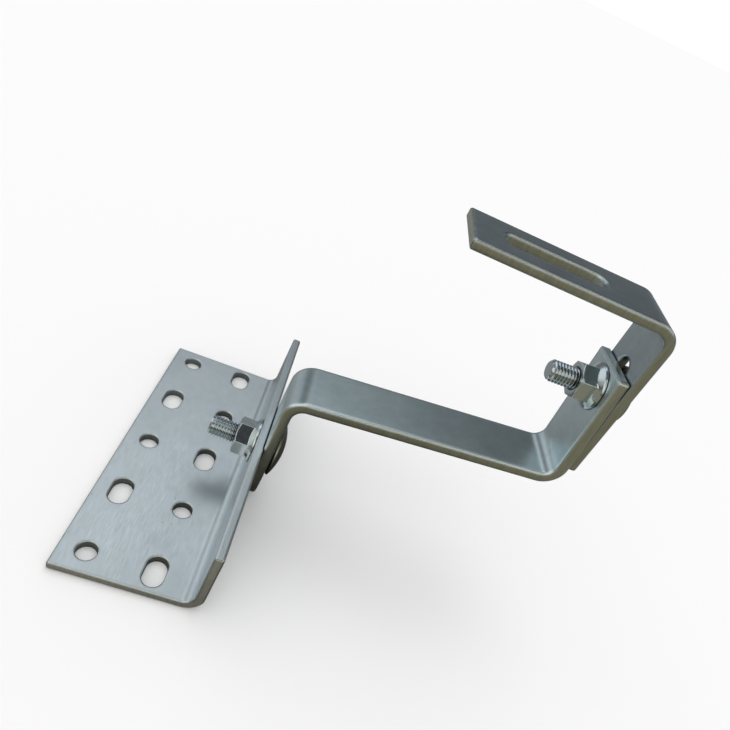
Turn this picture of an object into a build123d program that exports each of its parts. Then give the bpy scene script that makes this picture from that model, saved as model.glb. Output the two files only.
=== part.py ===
from build123d import *

import os
from math import cos, pi, radians, sin, tan

# Adjustable solar roof hook: a folded base plate screws to the rafter, a Z-shaped arm is bolted
# to the plate's flange, and an L-shaped bracket for the rail is bolted to the arm's upright.
# Millimetres, +Z up, +X from the plate towards the hook, +Y along the plate.
# The origin is the middle of the base plate's underside.

# Base plate, folded from one sheet
plate_length = 148.0
plate_width = 61.5  # outer long edge to the line of the flange's outer face
plate_thickness = 4.0
plate_bend_radius = 5.0  # inside the fold
plate_corner_radius = 1.5
plate_edge_break = 0.6  # all round the sheared edges
flange_height = 38.0  # above the underside
flange_lean = 3.0  # degrees that the flange opens past square

# Fixing holes in the base plate: round and slotted in turn, like the squares of a chessboard
hole_rows = 5
hole_columns = 2
row_edge = 9.5  # short edges to the first and last rows
outer_column_edge = 11.25  # outer long edge to the first column
inner_column_edge = 22.25  # line of the flange's outer face to the second column
round_hole_diameter = 8.5
slot_hole_width = 9.0
slot_hole_length = 14.0
hole_edge_break = 0.4  # upper rims

# Arm, bent from flat bar. Angles are in the arm's own frame, from square to its leg
bar_width = 30.0
arm_thickness = 5.0
arm_bend_radius = 6.0  # inside both bends
leg_rise = 40.8  # lower bolt to the corner of the upper skin
run_length = 121.7  # corner to corner of the upper skin
run_angle = 7.0
upright_length = 54.8  # corner of the upper skin to the top end
upright_angle = 94.0
bar_corner_radius = 1.5
bar_edge_break = 0.6  # all round the sheared edges
arm_swing = 4.0  # degrees that the arm is turned about the lower bolt

# Rail bracket, bent from flat bar of the same width
bracket_thickness = 4.5
bracket_bend_radius = 6.5
bracket_rise = 43.0  # upper bolt to the top skin, along the upright leg
bracket_drop = 36.8  # upper bolt to the lower end
bracket_reach = 90.0  # corner of the outer skin to the free end
bracket_angle = 177.1  # direction of the top leg, from square to the upright leg
bracket_swing = 4.0  # degrees that the bracket is turned back about the upper bolt
rail_slot_length = 45.0
rail_slot_edge = 13.5  # free end to the slot
height_slot_top = 18.0  # upper bolt to the top end of the height slot
height_slot_edge = 13.5  # lower end to the height slot
slot_edge_break = 0.4  # outer rims of both slots

# Carriage bolts and flange nuts, M10
bolt_size = 10.0
thread_relief = 0.15  # the thread's crests under the nominal size
lower_bolt_edge = 11.0  # lower bolt to the flange's top edge
upper_bolt_edge = 12.7  # upper bolt to the arm's top end
bolt_length = 31.5  # under the head
bolt_tip_chamfer = 0.9
head_diameter = 24.4
head_height = 5.0
head_rim = 1.0
nut_height = 10.0
nut_across_flats = 16.0
nut_sides = 6
nut_flange_diameter = 21.6
nut_flange_edge = 1.5
nut_cone_height = 3.2
nut_crown_inset = 0.4  # top face inside the flats
nut_crown_angle = 30.0
lower_nut_turn = 22.0
upper_nut_turn = 24.0

# Clearances
bolt_clearance = 0.6  # bolt in a round hole or a slot, on each side
neck_clearance = 0.3  # square neck in its square hole, on each side
slot_clearance = 0.5  # square neck in the bracket's slots, on each side
neck_stop = 0.5  # the neck ends this far inside the bar
thread_clearance = 0.1  # nut on its bolt, on each side

# Sizes that follow from the ones above
row_pitch = (plate_length - 2 * row_edge) / (hole_rows - 1)
column_pitch = (plate_width - outer_column_edge - inner_column_edge) / (hole_columns - 1)
bolt_height = flange_height - lower_bolt_edge
thread_diameter = bolt_size - thread_relief
neck_square = bolt_size
neck_hole = neck_square + 2 * neck_clearance
round_clear = thread_diameter + 2 * bolt_clearance
bracket_slot_width = neck_square + 2 * slot_clearance
height_slot_bottom = height_slot_edge - bracket_drop


def turned(plane, angle):
    """The same plane with its axes turned by an angle about its own normal."""
    normal = Axis((0, 0, 0), plane.z_dir)
    return Plane(plane.origin, x_dir=plane.x_dir.rotate(normal, angle), z_dir=plane.z_dir)


def side_of(seat):
    """The plane through a seat's bolt that holds the side view of the bar lying on the seat."""
    return Plane(seat.origin, x_dir=seat.z_dir, z_dir=-seat.x_dir)


def way(side, angle):
    """A direction in space that stands at an angle from the bolt's axis in a side view."""
    return side.x_dir.rotate(Axis((0, 0, 0), side.z_dir), angle)


def heading(angle):
    """A unit step in a side view, at an angle from the bolt's axis."""
    return Vector(cos(radians(angle)), sin(radians(angle)))


def section_of(under):
    """The plane through a fastener's axis, with its own y axis along the fastener."""
    return Plane(under.origin, x_dir=under.x_dir, z_dir=-under.y_dir)


def moved(plane, distance):
    """The same plane moved along its own normal."""
    return Plane(plane.origin + plane.z_dir * distance, x_dir=plane.x_dir, z_dir=plane.z_dir)


def facing_back(plane):
    """The same plane seen from behind."""
    return Plane(plane.origin, x_dir=plane.x_dir, z_dir=-plane.z_dir)


# Mating planes. Each one's z axis is the axis of its bolt, and its y axis runs up the bar
lean = radians(flange_lean)
flange_face = Plane(
    origin=(plate_width / 2 + bolt_height * tan(lean), 0, bolt_height),
    x_dir=(0, 1, 0),
    z_dir=(cos(lean), 0, -sin(lean)),
)
arm_seat = turned(flange_face, -arm_swing)
arm_side = side_of(arm_seat)

# Corners of the arm's upper skin, in its side view
lower_corner = Vector(0, leg_rise)
upper_corner = lower_corner + heading(run_angle) * run_length
arm_end = upper_corner + heading(upright_angle) * upright_length
upper_bolt = arm_end - heading(upright_angle) * upper_bolt_edge
upright_back = upper_bolt + heading(upright_angle - 90) * arm_thickness

# The bracket lies on the back of the arm's upright
upright_face = Plane(
    arm_side.from_local_coords(upright_back),
    x_dir=arm_seat.x_dir,
    z_dir=way(arm_side, upright_angle - 90),
)
bracket_seat = turned(upright_face, bracket_swing)
bracket_side = side_of(bracket_seat)


def end_corners(end):
    """The two short edges at the corners of a bar's end face."""
    return end.edges().filter_by(lambda edge: edge.length < bar_width / 2)


def rims_of(skin):
    """The edges round the openings in a flat face."""
    return ShapeList(edge for wire in skin.inner_wires() for edge in wire.edges())


def long_edges(side):
    """The edges of a bar's side face that run along it, without the short ones across its ends."""
    return side.edges().filter_by(lambda edge: edge.length > bar_width / 2)


# Base plate: the folded section, its corners, the fixing holes and the flange's bolt hole
outer_edge = (-plate_width / 2, 0)
fold_corner = (plate_width / 2, 0)
flange_top = (plate_width / 2 + flange_height * tan(lean), flange_height)
with BuildPart() as base_plate:
    with BuildSketch(Plane.XZ):
        with BuildLine():
            FilletPolyline(
                outer_edge, fold_corner, flange_top, radius=plate_bend_radius + plate_thickness
            )
            offset(amount=plate_thickness, side=Side.LEFT)
        make_face()
    extrude(amount=plate_length / 2, both=True)
    outer_end = base_plate.faces().sort_by(Axis.X)[0]
    flange_end = base_plate.faces().sort_by(Axis.Z)[-1]
    fillet(end_corners(outer_end) + end_corners(flange_end), radius=plate_corner_radius)
    with BuildSketch():
        for column in range(hole_columns):
            for row in range(hole_rows):
                column_x = outer_column_edge - plate_width / 2 + column * column_pitch
                row_y = (row - (hole_rows - 1) / 2) * row_pitch
                with Locations((column_x, row_y)):
                    if (column + row) % 2 == 0:
                        Circle(round_hole_diameter / 2)
                    else:
                        SlotOverall(slot_hole_length, slot_hole_width, rotation=90)
    extrude(amount=plate_thickness, mode=Mode.SUBTRACT)
    top_skin = base_plate.faces().filter_by(Axis.Z).sort_by(Axis.Z)[-1]
    chamfer(rims_of(top_skin), length=hole_edge_break)
    near_side = base_plate.faces().sort_by(Axis.Y)[0]
    chamfer(long_edges(near_side), length=plate_edge_break)
    with BuildSketch(flange_face):
        Circle(round_clear / 2)
    extrude(amount=-plate_thickness, mode=Mode.SUBTRACT)


# Arm: a round foot about the lower bolt, then leg, run and upright with a bolt hole near its end
with BuildPart() as arm:
    with BuildSketch(arm_side):
        with BuildLine():
            FilletPolyline(
                (0, 0),
                lower_corner,
                upper_corner,
                arm_end,
                radius=[arm_bend_radius + arm_thickness, arm_bend_radius],
            )
            offset(amount=arm_thickness, side=Side.RIGHT)
        make_face()
    extrude(amount=bar_width / 2, both=True)
    upright_end = arm.faces().sort_by(Axis.Z)[-1]
    fillet(end_corners(upright_end), radius=bar_corner_radius)
    with BuildSketch(arm_seat):
        Circle(bar_width / 2)
    extrude(amount=arm_thickness)
    near_side = arm.faces().sort_by(Axis.Y)[0]
    chamfer(long_edges(near_side), length=bar_edge_break)
    with BuildSketch(arm_seat):
        Rectangle(neck_hole, neck_hole)
    extrude(amount=arm_thickness, mode=Mode.SUBTRACT)
    with BuildSketch(upright_face):
        Circle(round_clear / 2)
    extrude(amount=-arm_thickness, mode=Mode.SUBTRACT)


# Rail bracket: an upright leg with the height slot, and a top leg with the slot for the rail's bolt
bracket_corner = (bracket_thickness, bracket_rise)
top_end = Vector(*bracket_corner) + heading(bracket_angle) * bracket_reach
rail_face = Plane(
    bracket_side.from_local_coords(top_end),
    x_dir=way(bracket_side, bracket_angle - 180),
    z_dir=way(bracket_side, bracket_angle - 90),
)
with BuildPart() as rail_bracket:
    with BuildSketch(bracket_side):
        with BuildLine():
            FilletPolyline(
                (bracket_thickness, -bracket_drop),
                bracket_corner,
                top_end,
                radius=bracket_bend_radius + bracket_thickness,
            )
            offset(amount=bracket_thickness, side=Side.LEFT)
        make_face()
    extrude(amount=bar_width / 2, both=True)
    bottom = rail_bracket.faces().sort_by(Axis.Z)[0]
    free_end = rail_bracket.faces().sort_by(Axis.X)[0]
    fillet(end_corners(bottom) + end_corners(free_end), radius=bar_corner_radius)
    with BuildSketch(bracket_seat):
        with Locations((0, (height_slot_top + height_slot_bottom) / 2)):
            SlotOverall(height_slot_top - height_slot_bottom, bracket_slot_width, rotation=90)
    extrude(amount=bracket_thickness, mode=Mode.SUBTRACT)
    with BuildSketch(rail_face):
        with Locations((rail_slot_edge + rail_slot_length / 2, 0)):
            SlotOverall(rail_slot_length, bracket_slot_width)
    extrude(amount=-bracket_thickness, mode=Mode.SUBTRACT)
    back_skin = rail_bracket.faces().filter_by(GeomType.PLANE).sort_by(Axis.X)[-1]
    rail_skin = rail_bracket.faces().filter_by(GeomType.PLANE).sort_by(Axis.Z)[-1]
    chamfer(rims_of(back_skin) + rims_of(rail_skin), length=slot_edge_break)
    near_side = rail_bracket.faces().sort_by(Axis.Y)[0]
    chamfer(long_edges(near_side), length=bar_edge_break)


pieces = {"base_plate": base_plate, "arm": arm, "rail_bracket": rail_bracket}

# Carriage bolts: a low domed head, a short square neck and a threaded shank
bolt_places = {
    "lower_bolt": (moved(arm_seat, arm_thickness), arm_thickness - neck_stop),
    "upper_bolt": (moved(bracket_seat, bracket_thickness), bracket_thickness - neck_stop),
}
for name, (under_head, neck_length) in bolt_places.items():
    bolt_axis = Axis(under_head.origin, under_head.z_dir)
    head_edge = (head_diameter / 2, head_rim)
    with BuildPart() as bolt:
        with BuildSketch(section_of(under_head)):
            with BuildLine():
                Polyline((0, head_height), (0, 0), (head_diameter / 2, 0), head_edge)
                TangentArc((0, head_height), head_edge, tangent=(1, 0))
            make_face()
        revolve(axis=bolt_axis)
        with BuildSketch(under_head):
            Rectangle(neck_square, neck_square)
        extrude(amount=-neck_length)
        with BuildSketch(under_head):
            Circle(thread_diameter / 2)
        extrude(amount=-bolt_length)
        tip = bolt.faces().filter_by(GeomType.PLANE).sort_by(bolt_axis)[0]
        chamfer(tip.edges(), length=bolt_tip_chamfer)
    pieces[name] = bolt


# Flange nuts: a hexagon with a chamfered top on a coned flange
hexagon_radius = nut_across_flats / 2 / cos(pi / nut_sides)
crown_radius = nut_across_flats / 2 - nut_crown_inset
crown_drop = (hexagon_radius - crown_radius) * tan(radians(nut_crown_angle))
nut_places = {
    "lower_nut": (facing_back(moved(flange_face, -plate_thickness)), lower_nut_turn),
    "upper_nut": (facing_back(moved(upright_face, -arm_thickness)), upper_nut_turn),
}
for name, (under_nut, nut_turn) in nut_places.items():
    nut_axis = Axis(under_nut.origin, under_nut.z_dir)
    with BuildPart() as nut:
        with BuildSketch(under_nut):
            RegularPolygon(hexagon_radius, side_count=nut_sides, rotation=nut_turn)
        extrude(amount=nut_height)
        with BuildSketch(section_of(under_nut)):
            Polygon(
                (0, 0),
                (hexagon_radius, 0),
                (hexagon_radius, nut_height - crown_drop),
                (crown_radius, nut_height),
                (0, nut_height),
                align=None,
            )
        revolve(axis=nut_axis, mode=Mode.INTERSECT)
        with BuildSketch(section_of(under_nut)):
            Polygon(
                (0, 0),
                (nut_flange_diameter / 2, 0),
                (nut_flange_diameter / 2, nut_flange_edge),
                (nut_across_flats / 2, nut_cone_height),
                (0, nut_cone_height),
                align=None,
            )
        revolve(axis=nut_axis)
        with BuildSketch(under_nut):
            Circle(thread_diameter / 2 + thread_clearance)
        extrude(amount=nut_height, mode=Mode.SUBTRACT)
    pieces[name] = nut


os.makedirs("parts", exist_ok=True)
for name, piece in pieces.items():
    piece.part.label = name
    export_step(piece.part, f"parts/{name}.step")
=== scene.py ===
from math import cos, pi, radians, sin, tan

import bmesh
import bpy
from mathutils import Matrix, Vector


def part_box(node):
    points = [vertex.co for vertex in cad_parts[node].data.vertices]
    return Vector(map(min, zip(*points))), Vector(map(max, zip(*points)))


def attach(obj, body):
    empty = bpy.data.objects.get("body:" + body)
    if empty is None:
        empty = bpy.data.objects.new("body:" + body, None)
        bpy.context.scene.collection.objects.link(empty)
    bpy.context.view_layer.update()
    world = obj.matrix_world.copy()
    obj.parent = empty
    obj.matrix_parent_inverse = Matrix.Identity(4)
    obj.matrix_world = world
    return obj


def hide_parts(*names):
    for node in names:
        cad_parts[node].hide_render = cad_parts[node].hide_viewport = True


# Looks of the solar roof hook: zinc-plated sheet and flat bar, carriage bolts and flange nuts.
# Metres, in the frame's own axes: +X from the plate to the hook, +Y along the plate, +Z up.

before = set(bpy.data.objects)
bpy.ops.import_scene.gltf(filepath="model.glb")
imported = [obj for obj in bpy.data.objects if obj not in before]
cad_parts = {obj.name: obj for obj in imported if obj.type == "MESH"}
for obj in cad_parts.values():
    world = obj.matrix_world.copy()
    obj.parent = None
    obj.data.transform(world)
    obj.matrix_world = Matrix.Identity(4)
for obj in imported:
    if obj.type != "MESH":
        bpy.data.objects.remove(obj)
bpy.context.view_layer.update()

MM = 0.001

# M10 thread
thread_pitch = 1.5 * MM
thread_crest = 4.9 * MM
thread_root = 4.1 * MM
thread_tip = 1.2 * MM  # length of the chamfer at the end
tip_slope = 0.9
thread_steps = 48
# one turn's profile: share of the pitch, share of the depth
thread_profile = (
    (0.0, 0.0), (0.2, 0.0), (0.28, 0.12), (0.50, 0.85), (0.56, 1.0), (0.68, 1.0), (0.74, 0.85), (0.94, 0.12),
)

# Carriage bolt
head_radius = 12.9 * MM
head_height = 5.0 * MM
head_rim = 0.8 * MM
head_undercut = 1.0 * MM
head_steps = 64
dome_rings = 12
neck_half = 5.0 * MM
neck_length = 3.9 * MM
thread_from = 0.8  # the thread's skin starts inside the neck, at this share of it

# Flange nut
nut_flat = 7.75 * MM  # half the size across flats
nut_crown = 7.3 * MM
nut_bore = 4.95 * MM
nut_mouth = 5.5 * MM  # countersink at both ends of the bore
mouth_depth = 0.6 * MM
crown_slope = tan(radians(30))
flange_radius = 10.8 * MM
flange_rim = 1.3 * MM
flange_top = 3.3 * MM
nut_steps = 96

# Plate and bars
corner_reach = 1.5 * MM  # CAD rounding of the end corners
edge_break = 0.6 * MM
corner_left = 0.3  # share of that rounding on the real piece
foot_longer = 10.5 * MM  # the arm's rounded foot below the CAD one
foot_hole = 8.0 * MM  # kept as it is round the square hole
foot_half = 15.0 * MM
foot_blunt = 0.75  # 1 is a half circle, less is squarer
near = 0.01 * MM
smooth_angle = radians(35)

# Camera and floor
lens_mm = 30.11
sensor_mm = 36.0
camera_place = Vector((25.94, -209.1, 240.0)) * MM
camera_right = Vector((0.92587, 0.08509, 0.36813))
camera_down = Vector((0.34656, -0.57940, -0.73770))
camera_shift = (-0.0187, -0.0017)
floor_size = 200.0
floor_gap = 0.05 * MM
shade_centre = (0.08, -0.02, 0.0)  # centre of the painted shadow on the floor that reflections see, under the arm

BLACK = (0.0, 0.0, 0.0)
WHITE = (1.0, 1.0, 1.0, 1.0)


# Shader nodes


def node(tree, kind, **settings):
    """Adds a shader node. Settings are its properties, or its inputs by name."""
    made = tree.nodes.new("ShaderNode" + kind)
    for key, value in settings.items():
        if hasattr(made, key):
            setattr(made, key, value)
        else:
            made.inputs[key.replace("_", " ")].default_value = value
    return made


def join(tree, output, socket):
    tree.links.new(output, socket)


def maths(tree, operation, first, second):
    """A maths node on two values, each a number or an output."""
    made = node(tree, "Math", operation=operation)
    for place, value in enumerate((first, second)):
        if isinstance(value, (int, float)):
            made.inputs[place].default_value = value
        else:
            join(tree, value, made.inputs[place])
    return made.outputs[0]


def times(tree, first, *others):
    for other in others:
        first = maths(tree, "MULTIPLY", first, other)
    return first


def plus(tree, first, second):
    return maths(tree, "ADD", first, second)


def ramp(tree, value, low, high, start=0.0, end=1.0):
    """Maps a value from one range to another and clamps it."""
    made = node(tree, "MapRange")
    join(tree, value, made.inputs["Value"])
    made.inputs["From Min"].default_value = low
    made.inputs["From Max"].default_value = high
    made.inputs["To Min"].default_value = start
    made.inputs["To Max"].default_value = end
    return made.outputs[0]


def blend(tree, factor, first, second):
    """Mixes two colours, each a tuple or an output."""
    made = node(tree, "Mix", data_type="RGBA")
    for socket, value in ((made.inputs[0], factor), (made.inputs[6], first), (made.inputs[7], second)):
        if isinstance(value, (int, float)):
            socket.default_value = value
        elif isinstance(value, tuple):
            socket.default_value = (*value, 1.0)
        else:
            join(tree, value, socket)
    return made.outputs[2]


def noise(tree, coords, scale, detail=3.0, stretch=(1, 1, 1), roughness=0.5):
    """Noise over the object's own coordinates, stretched along an axis. The scale is per metre."""
    mapping = node(tree, "Mapping")
    mapping.inputs["Scale"].default_value = stretch
    join(tree, coords, mapping.inputs["Vector"])
    made = node(tree, "TexNoise", Scale=scale, Detail=detail, Roughness=roughness)
    join(tree, mapping.outputs[0], made.inputs["Vector"])
    return made.outputs[0]


def axis_of(tree, output, place):
    split = node(tree, "SeparateXYZ")
    join(tree, output, split.inputs[0])
    return split.outputs[place]


def mix_shader(tree, factor, first, second):
    made = node(tree, "MixShader")
    for place, output in enumerate((factor, first, second)):
        join(tree, output, made.inputs[place])
    return made.outputs[0]


# Zinc plating


def new_metal(name):
    made = bpy.data.materials.new(name)
    made.use_nodes = True
    tree = made.node_tree
    tree.nodes.clear()
    surface = node(tree, "BsdfPrincipled", Metallic=1.0)
    join(tree, surface.outputs[0], node(tree, "OutputMaterial").inputs["Surface"])
    return made, tree, surface


def pitting(tree, coords):
    """A mask of small dark pits and dust, gathered in places."""
    cells = node(tree, "TexVoronoi", Scale=330.0, Randomness=1.0)
    join(tree, coords, cells.inputs["Vector"])
    pit = ramp(tree, cells.outputs["Distance"], 0.10, 0.05)
    return times(tree, pit, ramp(tree, noise(tree, coords, 95.0, 1.0), 0.60, 0.68))


def edge_wear_and_sheen(tree, geometry, rounded, patch):
    """A mask of the edges, where the rounded normal leaves the flat one: partly rubbed wear, partly a painted
    highlight along the rounding.
    """
    turn = node(tree, "VectorMath", operation="DOT_PRODUCT")
    join(tree, rounded, turn.inputs[0])
    join(tree, geometry.outputs["Normal"], turn.inputs[1])
    edge = ramp(tree, turn.outputs["Value"], 0.99, 0.86)
    return times(tree, edge, ramp(tree, patch, 0.30, 0.60, 0.35, 1.0))


def cut_faces(limits, side_from=0.0):
    """A mask of the sheared faces: those across the bar, and those past the given places."""

    def mask(tree, geometry):
        across = maths(tree, "ABSOLUTE", axis_of(tree, geometry.outputs["True Normal"], 1), 0.0)
        away = maths(tree, "ABSOLUTE", axis_of(tree, geometry.outputs["Position"], 1), 0.0)
        cut = maths(tree, "GREATER_THAN", across, 0.9)
        cut = times(tree, cut, maths(tree, "GREATER_THAN", away, side_from))
        for axis, sign, place in limits:
            side = times(tree, axis_of(tree, geometry.outputs["Position"], axis), float(sign))
            cut = maths(tree, "MAXIMUM", cut, maths(tree, "GREATER_THAN", side, sign * place))
        return cut

    return mask


def zinc(name, tint, dark_tint, gloss, edge_round, grain=(1.0, 1.0, 1.0), sheared=None, cut_tints=None,
         mottle=0.5, brushed=1.0, painted_shade_reach=2.5 * MM):
    """Zinc plating: mottled colour, fine grain, small pits, lighter edges (partly rubbed wear, partly painted
    highlight), painted shade in creases and seams.
    """
    made, tree, surface = new_metal(name)
    coords = node(tree, "TexCoord").outputs["Object"]
    geometry = node(tree, "NewGeometry")
    rounded = node(tree, "Bevel", samples=8, Radius=edge_round).outputs[0]
    cloud = noise(tree, coords, 38.0, 5.0, roughness=0.6)
    patch = noise(tree, coords, 210.0, 4.0, roughness=0.65)
    streak = noise(tree, coords, 420.0, 3.0, stretch=grain)
    fine = noise(tree, coords, 1500.0, 2.0, stretch=grain)
    pit = pitting(tree, coords)
    wear_and_sheen = edge_wear_and_sheen(tree, geometry, rounded, patch)

    tone = ramp(tree, plus(tree, times(tree, cloud, 0.6), times(tree, patch, 0.4)), 0.36, 0.66)
    colour = blend(tree, times(tree, tone, mottle), tint, dark_tint)
    colour = blend(tree, times(tree, pit, 0.55), colour, (0.16, 0.16, 0.15))
    # Edges lighter: partly rubbed wear, partly a painted highlight along the rounded edges.
    wear_and_sheen_tint = tuple(min(0.92, 1.18 * share) for share in tint)
    colour = blend(tree, times(tree, wear_and_sheen, 0.8), colour, wear_and_sheen_tint)

    rough = ramp(tree, streak, 0.30, 0.70, gloss - 0.05 * brushed, gloss + 0.07 * brushed)
    rough = plus(tree, rough, times(tree, pit, 0.25))
    rough = maths(tree, "SUBTRACT", rough, times(tree, wear_and_sheen, 0.08))
    height = plus(tree, times(tree, fine, 0.35 * brushed), times(tree, streak, 0.65 * brushed))
    height = maths(tree, "SUBTRACT", height, times(tree, pit, 1.5))

    if sheared:
        marks = noise(tree, coords, 900.0, 3.0, stretch=(1.0, 1.0, 0.12))
        cut_colour = blend(tree, ramp(tree, marks, 0.35, 0.65), *cut_tints)
        cut = times(tree, sheared(tree, geometry), maths(tree, "SUBTRACT", 1.0, wear_and_sheen))
        colour = blend(tree, times(tree, cut, 0.9), colour, cut_colour)
        rough = plus(tree, rough, times(tree, cut, 0.14))
        height = plus(tree, height, times(tree, marks, cut, 0.8))

    # Painted shade: ambient occlusion darkens creases, thread roots and the seams between parts towards near
    # black.
    seam = node(tree, "AmbientOcclusion", samples=8, Distance=painted_shade_reach)
    colour = blend(tree, ramp(tree, seam.outputs["AO"], 0.66, 0.30, 0.0, 0.92), colour, (0.04, 0.04, 0.035))

    bump = node(tree, "Bump", Strength=0.35, Distance=0.12 * MM)
    join(tree, height, bump.inputs["Height"])
    join(tree, rounded, bump.inputs["Normal"])
    join(tree, colour, surface.inputs["Base Color"])
    join(tree, rough, surface.inputs["Roughness"])
    join(tree, bump.outputs[0], surface.inputs["Normal"])
    return made


# Fasteners


def place_of(cad_node):
    """Matrix with its z axis along a fastener, from its wide end to its narrow one, and its length."""
    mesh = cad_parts[cad_node].data
    backwards = Vector((-1, 0, 0))
    normal, centre, total = Vector(), Vector(), 0.0
    for face in mesh.polygons:
        if face.normal.dot(backwards) > 0.99:
            normal += face.normal * face.area
            centre += face.center * face.area
            total += face.area
    normal.normalize()
    centre /= total
    along = [(v.co - centre).dot(normal) for v in mesh.vertices]
    middle = (max(along) + min(along)) / 2
    top = [v.co - centre for v, a in zip(mesh.vertices, along) if a > middle]
    out = [step - normal * step.dot(normal) for step in top]
    corner = max(out, key=lambda step: step.length).normalized()
    matrix = Matrix((corner, normal.cross(corner), normal)).transposed().to_4x4()
    matrix.translation = centre + normal * min(along)
    return matrix, max(along) - min(along)


def ring(mesh, radius, height, steps):
    """Vertices round the axis. Radius and height are numbers or functions of the angle."""
    vertices = []
    for step in range(steps):
        angle = 2 * pi * step / steps
        r = radius(angle) if callable(radius) else radius
        z = height(angle) if callable(height) else height
        vertices.append(mesh.verts.new((r * cos(angle), r * sin(angle), z)))
    return vertices


def skin(mesh, rings, closed=True):
    """Faces between rings that follow each other."""
    for lower, upper in zip(rings, rings[1:]):
        for step in range(len(lower)):
            after = (step + 1) % len(lower)
            mesh.faces.new((lower[step], lower[after], upper[after], upper[step]))
    if closed:
        mesh.faces.new(reversed(rings[0]))
        mesh.faces.new(rings[-1])


def helix(mesh, start, end):
    """A rolled thread as one skin, faded out at both ends."""
    depth = thread_crest - thread_root
    rows = []
    for turn in range(-1, int((end - start) / thread_pitch) + 1):
        for share, rise in thread_profile:
            row = []
            for step in range(thread_steps):
                z = start + (turn + share + step / thread_steps) * thread_pitch
                z = min(max(z, start), end)
                limit = thread_crest - max(0.0, z - (end - thread_tip)) * tip_slope
                radius = min(thread_root + rise * depth, limit)
                angle = 2 * pi * step / thread_steps
                row.append(mesh.verts.new((radius * cos(angle), radius * sin(angle), z)))
            rows.append(row)
    # each row ends one pitch higher than it starts, so the seam joins a row to the one a turn later
    per_turn = len(thread_profile)
    for lower, upper in zip(rows, rows[1:]):
        for step in range(thread_steps - 1):
            mesh.faces.new((lower[step], lower[step + 1], upper[step + 1], upper[step]))
    for place in range(len(rows) - 1 - per_turn):
        later, after_later = rows[place + per_turn], rows[place + per_turn + 1]
        mesh.faces.new((rows[place][-1], later[0], after_later[0], rows[place + 1][-1]))
    mesh.faces.new(ring(mesh, thread_crest - thread_tip * tip_slope, end, thread_steps))


def finished(mesh, name, matrix, materials, cad_node):
    """Turns a bmesh into a piece that stands for a CAD node."""
    bmesh.ops.remove_doubles(mesh, verts=mesh.verts, dist=1e-7)
    bmesh.ops.dissolve_degenerate(mesh, edges=mesh.edges, dist=1e-8)
    bmesh.ops.recalc_face_normals(mesh, faces=mesh.faces)
    data = bpy.data.meshes.new(name)
    mesh.to_mesh(data)
    mesh.free()
    data.transform(matrix)
    for material in materials:
        data.materials.append(material)
    data.shade_smooth()
    data.set_sharp_from_angle(angle=smooth_angle)
    piece = bpy.data.objects.new(name, data)
    bpy.context.scene.collection.objects.link(piece)
    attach(piece, "root")
    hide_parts(cad_node)
    return piece


def carriage_bolt(name, cad_node, material, shaded_head_material):
    matrix, length = place_of(cad_node)
    mesh = bmesh.new()
    dome_height = head_height - head_rim - head_undercut
    dome_radius = (head_radius**2 + dome_height**2) / 2 / dome_height
    profile = [
        (neck_half * 0.9, head_height),
        (head_radius - 2 * head_undercut, head_height),
        (head_radius, dome_height + head_rim),
        (head_radius, dome_height),
    ]
    for step in range(1, dome_rings):
        radius = head_radius * (1 - step / dome_rings)
        profile.append((radius, dome_radius - (dome_radius**2 - radius**2) ** 0.5))
    skin(mesh, [ring(mesh, radius, rise, head_steps) for radius, rise in profile])
    # The head's faces take the second material, the zinc darkened as painted shade.
    for face in mesh.faces:
        face.material_index = 1
    corners = [(neck_half * sx, neck_half * sy) for sx, sy in ((1, 1), (-1, 1), (-1, -1), (1, -1))]
    neck = [[mesh.verts.new((x, y, z)) for x, y in corners] for z in (head_height, head_height + neck_length)]
    skin(mesh, neck)
    helix(mesh, head_height + neck_length * thread_from, length)
    return finished(mesh, name, matrix, (material, shaded_head_material), cad_node)


def flange_nut(name, cad_node, material):
    matrix, height = place_of(cad_node)
    mesh = bmesh.new()

    def hexagon(angle):
        return nut_flat / cos((angle % (pi / 3)) - pi / 6)

    def crown(angle):
        return height - (hexagon(angle) - nut_crown) * crown_slope

    flange = [
        (nut_bore, mouth_depth),
        (nut_mouth, 0.0),
        (flange_radius - 0.3 * MM, 0.0),
        (flange_radius, 0.3 * MM),
        (flange_radius, flange_rim - 0.5 * MM),
        (flange_radius - 0.1 * MM, flange_rim - 0.15 * MM),
        (flange_radius - 0.4 * MM, flange_rim + 0.1 * MM),
        (flange_radius - 1.0 * MM, flange_rim + 0.4 * MM),
        (nut_flat + 0.9 * MM, flange_top - 0.45 * MM),
        (nut_flat - 0.2 * MM, flange_top),
        (nut_bore, flange_top),
    ]
    body = [
        (nut_bore, flange_rim),
        (hexagon, flange_rim),
        (hexagon, crown),
        (nut_crown, height),
        (nut_mouth, height),
        (nut_bore, height - mouth_depth),
    ]
    for profile in (flange, body):
        rings = [ring(mesh, radius, rise, nut_steps) for radius, rise in profile]
        skin(mesh, rings + rings[:1], closed=False)
    return finished(mesh, name, matrix, (material,), cad_node)


# Plate and bars


def plane_at(mesh, way):
    """The flat face furthest out one way: its normal, and its distance along it."""
    way = Vector(way).normalized()
    furthest = max(v.co.dot(way) for v in mesh.vertices)
    close = [f for f in mesh.polygons if f.normal.dot(way) > 0.97 and furthest - f.center.dot(way) < 6.0 * MM]
    widest = max(close, key=lambda face: face.area)
    return widest.normal.copy(), widest.center.dot(widest.normal)


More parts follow.
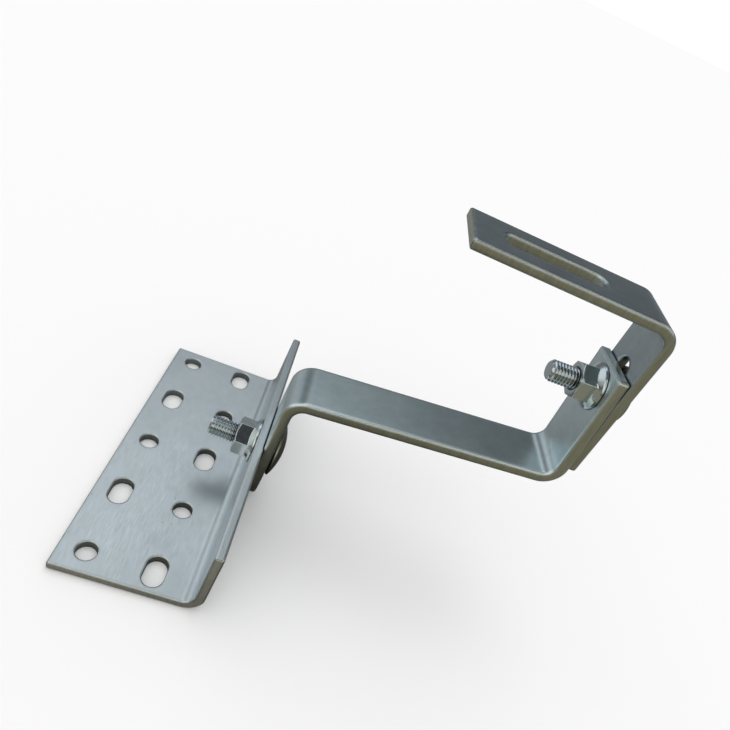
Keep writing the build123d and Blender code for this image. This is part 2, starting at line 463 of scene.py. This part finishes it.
def crisp_corners(mesh, ends):
    """Pulls the rounded end corners out towards the sharp corner. The broken edge keeps its width."""
    for end in ends:
        end_normal, end_place = plane_at(mesh, end)
        for side in ((0, 1, 0), (0, -1, 0)):
            side_normal, side_place = plane_at(mesh, side)
            square = side_normal - end_normal * side_normal.dot(end_normal)
            square.normalize()
            for vertex in mesh.vertices:
                back = end_place - vertex.co.dot(end_normal)
                within = side_place - vertex.co.dot(side_normal)
                if max(back, within) < corner_reach + near:
                    inner = min(back, within)
                    kept = min(inner, edge_break) if inner > 0.3 * edge_break else 0.0
                    vertex.co += end_normal * max(0.0, back - kept) * (1 - corner_left)
                    vertex.co += square * max(0.0, within - kept) * (1 - corner_left)


def longer_foot(mesh):
    """Moves the arm's rounded end down along its foot, leaving the square hole where it is."""
    bolt, _ = place_of("lower_bolt")
    axis = bolt.col[2].to_3d()
    down = Vector((0, 0, -1))
    down = (down - axis * down.dot(axis)).normalized()
    across = axis.cross(down)
    for vertex in mesh.vertices:
        step = vertex.co - bolt.translation
        flat = step - axis * step.dot(axis)
        if flat.dot(down) > near and flat.length > foot_hole:
            aside = flat.dot(across)
            wider = foot_half * abs(aside / foot_half) ** foot_blunt
            vertex.co += down * foot_longer + across * (wider if aside > 0 else -wider) - across * aside


def piece_from(cad_node, name, material, ends, change=None):
    """A copy of a CAD body with its shown shape finished off. It stands for the CAD node."""
    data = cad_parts[cad_node].data.copy()
    data.name = name
    if change:
        change(data)
    crisp_corners(data, ends)
    data.materials.clear()
    data.materials.append(material)
    data.update()
    piece = bpy.data.objects.new(name, data)
    bpy.context.scene.collection.objects.link(piece)
    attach(piece, "root")
    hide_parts(cad_node)
    return piece


# The hook itself

plate_low, plate_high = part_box("base_plate")
_, arm_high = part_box("arm")
bracket_low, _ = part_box("rail_bracket")

plate_cut = ((0.82, 0.81, 0.74), (0.94, 0.93, 0.87))
bar_cut = ((0.44, 0.435, 0.33), (0.53, 0.52, 0.42))
plate_grain = (6.0, 0.35, 6.0)
bar_grain = (0.35, 6.0, 0.6)
plate_round = 0.9 * MM
bar_round = 2.4 * MM

plate_zinc = zinc(
    "plate_zinc", (0.70, 0.74, 0.76), (0.53, 0.575, 0.60), 0.33, plate_round, plate_grain,
    sheared=cut_faces([(0, -1, plate_low.x + 0.1 * MM)], side_from=plate_high.y - 1.0 * MM),
    cut_tints=plate_cut,
)
arm_zinc = zinc(
    "arm_zinc", (0.84, 0.93, 0.95), (0.50, 0.61, 0.63), 0.29, bar_round, bar_grain,
    sheared=cut_faces([(2, 1, arm_high.z - 0.1 * MM)]), cut_tints=bar_cut,
    brushed=0.3, painted_shade_reach=4.0 * MM,
)
bracket_zinc = zinc(
    "bracket_zinc", (0.62, 0.67, 0.69), (0.33, 0.38, 0.40), 0.29, bar_round, bar_grain,
    sheared=cut_faces([(0, -1, bracket_low.x + 0.6 * MM)]), cut_tints=bar_cut, brushed=0.3,
)
nut_zinc = zinc("nut_zinc", (0.76, 0.81, 0.83), (0.56, 0.62, 0.65), 0.11, 0.45 * MM, mottle=0.4)
bolt_zinc = zinc(
    "bolt_zinc", (0.72, 0.78, 0.81), (0.50, 0.56, 0.59), 0.15, 0.02 * MM, mottle=0.4, painted_shade_reach=5.0 * MM
)
# Painted shade: darker, duller zinc for the carriage heads, as they lie in shade.
shaded_head_zinc = zinc("shaded_head_zinc", (0.36, 0.36, 0.30), (0.24, 0.24, 0.19), 0.34, 0.5 * MM)

piece_from("base_plate", "folded_plate", plate_zinc, ((-1, 0, 0), (0.05, 0, 1)))
piece_from("arm", "bent_arm", arm_zinc, ((0, 0, 1),), longer_foot)
piece_from("rail_bracket", "bent_bracket", bracket_zinc, ((-1, 0, 0),))

carriage_bolt("lower_carriage_bolt", "lower_bolt", bolt_zinc, shaded_head_zinc)
carriage_bolt("upper_carriage_bolt", "upper_bolt", bolt_zinc, shaded_head_zinc)
flange_nut("lower_flange_nut", "lower_nut", nut_zinc)
flange_nut("upper_flange_nut", "upper_nut", nut_zinc)


# Floor


def floor_material():
    """Pale paper. Reflections in the steel see it dimmer and warm towards the front, with a painted shadow
    near the object that is darkest under the arm.
    """
    made = bpy.data.materials.new("pale_paper")
    made.use_nodes = True
    tree = made.node_tree
    tree.nodes.clear()
    place = node(tree, "NewGeometry").outputs["Position"]
    along = axis_of(tree, place, 1)
    away = node(tree, "VectorMath", operation="DISTANCE")
    join(tree, place, away.inputs[0])
    away.inputs[1].default_value = shade_centre
    away = away.outputs["Value"]
    # Painted shadow: in reflections the floor is dim near the object and nearly black round shade_centre.
    mirrored_shade_colour = blend(tree, ramp(tree, along, -0.12, 0.12), (0.22, 0.212, 0.155), (0.24, 0.255, 0.26))
    mirrored_shade_colour = blend(tree, ramp(tree, away, 0.05, 0.17), (0.05, 0.05, 0.04), mirrored_shade_colour)
    far = times(tree, ramp(tree, away, 0.45, 1.0), ramp(tree, away, 1.8, 1.0), ramp(tree, along, -0.2, 0.2))
    paper = node(tree, "BsdfDiffuse", Color=(0.95, 0.95, 0.95, 1.0))
    mirrored = node(tree, "BsdfDiffuse")
    join(tree, blend(tree, far, mirrored_shade_colour, (0.42, 0.43, 0.43)), mirrored.inputs["Color"])
    in_steel = node(tree, "LightPath").outputs["Is Glossy Ray"]
    seen = mix_shader(tree, in_steel, paper.outputs[0], mirrored.outputs[0])
    join(tree, seen, node(tree, "OutputMaterial").inputs["Surface"])
    return made


def lay_floor(height):
    mesh = bmesh.new()
    bmesh.ops.create_grid(mesh, x_segments=1, y_segments=1, size=floor_size / 2)
    data = bpy.data.meshes.new("floor")
    mesh.to_mesh(data)
    mesh.free()
    data.materials.append(floor_material())
    floor = bpy.data.objects.new("floor", data)
    floor.location.z = height
    bpy.context.scene.collection.objects.link(floor)


lay_floor(plate_low.z - floor_gap)


# Room and light

skylight_way = (-0.20, 0.58, 0.79)
skylight_stops = (
    (0.86, (0.045, 0.048, 0.052)),
    (0.907, (0.19, 0.215, 0.225)),
    (0.93, (0.32, 0.36, 0.38)),
    (0.97, (0.68, 0.75, 0.79)),
    (0.99, (0.88, 0.95, 0.99)),
    (1.0, (0.98, 1.05, 1.09)),
)
roof_beam_way = (-0.35, 0.74, 0.56)  # crosses the skylight
window_way = (-0.80, 0.50, 0.33)
person_way = (0.07, -0.52, 0.85)  # dark shapes before the front glow
lamp_shade_way = (0.44, -0.10, 0.89)
back_colour = (0.10, 0.115, 0.12)
front_colour = (0.80, 0.82, 0.76)
window_colour = (0.62, 0.68, 0.71)
fill_strength = 0.92
sun_way = (0.10, 0.45, 1.0)
sun_strength = 0.36
sun_angle = radians(34)


def light_room():
    """The room that the steel reflects, a plain fill light on the floor, and a white backdrop."""
    world = bpy.data.worlds.new("room")
    bpy.context.scene.world = world
    world.use_nodes = True
    sky = world.node_tree
    sky.nodes.clear()
    direction = node(sky, "TexCoord").outputs["Generated"]
    height_up = axis_of(sky, direction, 2)

    def toward(way):
        """How nearly a direction points one way: 1 is straight at it."""
        aim = node(sky, "VectorMath", operation="DOT_PRODUCT")
        aim.inputs[1].default_value = Vector(way).normalized()
        join(sky, direction, aim.inputs[0])
        return aim.outputs["Value"]

    def glow(colour, *shares):
        return blend(sky, times(sky, *shares), BLACK, colour)

    def added(first, second):
        made = node(sky, "Mix", data_type="RGBA", blend_type="ADD")
        made.inputs[0].default_value = 1.0
        join(sky, first, made.inputs[6])
        join(sky, second, made.inputs[7])
        return made.outputs[2]

    skylight = node(sky, "ValToRGB")
    join(sky, toward(skylight_way), skylight.inputs[0])
    stops = skylight.color_ramp.elements
    for stop, (position, colour) in zip((stops[0], stops[1]), (skylight_stops[0], skylight_stops[-1])):
        stop.position, stop.color = position, (*colour, 1.0)
    for position, colour in skylight_stops[1:-1]:
        stops.new(position).color = (*colour, 1.0)
    beam = ramp(sky, toward(roof_beam_way), 0.992, 0.968, 0.25, 1.0)
    above = blend(sky, beam, BLACK, skylight.outputs[0])

    back = glow(back_colour, ramp(sky, height_up, 0.50, 0.25), ramp(sky, toward((0, 1, 0)), 0.0, 0.5))
    front = glow(
        front_colour,
        ramp(sky, toward((0, -1, 0)), -0.30, 0.10),
        ramp(sky, height_up, 0.08, 0.32),
        ramp(sky, toward(lamp_shade_way), 0.985, 0.96),
        ramp(sky, toward(person_way), 0.98, 0.94),
    )
    window = glow(window_colour, ramp(sky, toward(window_way), 0.90, 0.975))
    room = node(sky, "Background", Strength=1.0)
    join(sky, added(added(added(above, back), front), window), room.inputs["Color"])

    fill = node(sky, "Background", Color=WHITE, Strength=fill_strength)
    backdrop = node(sky, "Background", Color=WHITE, Strength=1.0)
    ray = node(sky, "LightPath")
    seen = mix_shader(sky, ray.outputs["Is Glossy Ray"], fill.outputs[0], room.outputs[0])
    seen = mix_shader(sky, ray.outputs["Is Camera Ray"], seen, backdrop.outputs[0])
    join(sky, seen, node(sky, "OutputWorld").inputs["Surface"])


def shine_daylight():
    """A soft sun for the floor's shadow. The steel doesn't mirror it."""
    data = bpy.data.lights.new("daylight", "SUN")
    data.energy = sun_strength
    data.angle = sun_angle
    made = bpy.data.objects.new("daylight", data)
    way = Vector(sun_way).normalized()
    made.location = way
    made.rotation_mode = "QUATERNION"
    made.rotation_quaternion = way.to_track_quat("Z", "Y")
    made.visible_glossy = False
    bpy.context.scene.collection.objects.link(made)


light_room()
shine_daylight()


# Camera


def place_camera():
    data = bpy.data.cameras.new("camera")
    data.lens = lens_mm
    data.sensor_width = sensor_mm
    data.shift_x, data.shift_y = camera_shift
    data.clip_start = 0.01
    camera = bpy.data.objects.new("camera", data)
    back = -camera_right.cross(camera_down).normalized()
    up = -camera_down.normalized()
    turn = Matrix((up.cross(back).normalized(), up, back)).transposed().to_4x4()
    turn.translation = camera_place
    camera.matrix_world = turn
    bpy.context.scene.collection.objects.link(camera)
    bpy.context.scene.camera = camera


place_camera()
bpy.context.scene.view_settings.view_transform = "Standard"
